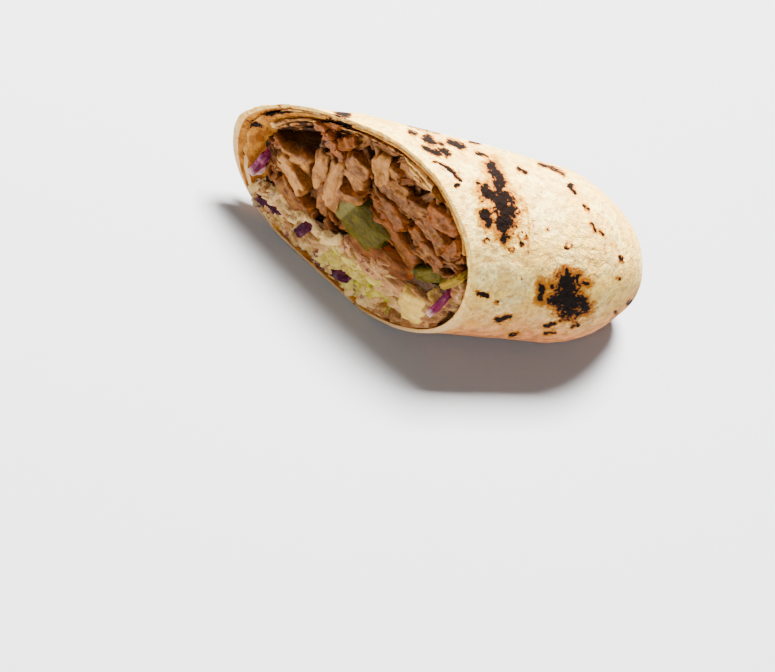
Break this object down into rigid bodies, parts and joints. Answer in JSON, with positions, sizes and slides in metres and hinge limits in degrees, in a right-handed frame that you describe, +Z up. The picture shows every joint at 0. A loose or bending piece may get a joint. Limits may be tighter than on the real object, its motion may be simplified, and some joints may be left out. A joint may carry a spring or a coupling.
{
  "type": "donair wrap half",
  "caption": "Half of a rolled flatbread wrap, cut on the bias, with sliced meat, creamy slaw and pickle in the cut face; it lies on its flat underside.",
  "frame": {"origin": "on the floor under the middle of the wrap's bounding box", "axes": "+X along the roll towards its folded end, with the cut face on the -X side; +Z up; -Y is the side on which the cut reaches less far"},
  "size_m": [0.1428, 0.0698, 0.0676],
  "materials": {
    "flatbread": "griddled flatbread, dull, charred in spots",
    "meat": "roasted sliced meat, satin",
    "slaw": "creamy shredded cabbage, moist",
    "pickle": "pickled cucumber, moist",
    "tomato": "tomato flesh, moist",
    "pepper": "pickled pepper, moist",
    "cabbage": "pale cabbage stalk in sauce, moist",
    "onion": "red onion and red cabbage, moist",
    "lettuce": "pale lettuce leaf, moist"
  },
  "bodies": {
    "root": {"flatbread": "flatbread", "meat": "meat", "slaw": "slaw", "pickle_chunk": "pickle", "pickle_slice": "pickle", "tomato_slice": "tomato", "pepper_strip": "pepper", "cabbage_chunk": "cabbage", "cabbage_slab": "cabbage", "lettuce_a": "lettuce", "lettuce_b": "lettuce", "onion_strip_left": "onion", "onion_strip_right": "onion", "red_cabbage_a": "onion", "red_cabbage_b": "onion", "red_cabbage_c": "onion"}
  },
  "joints": []
}
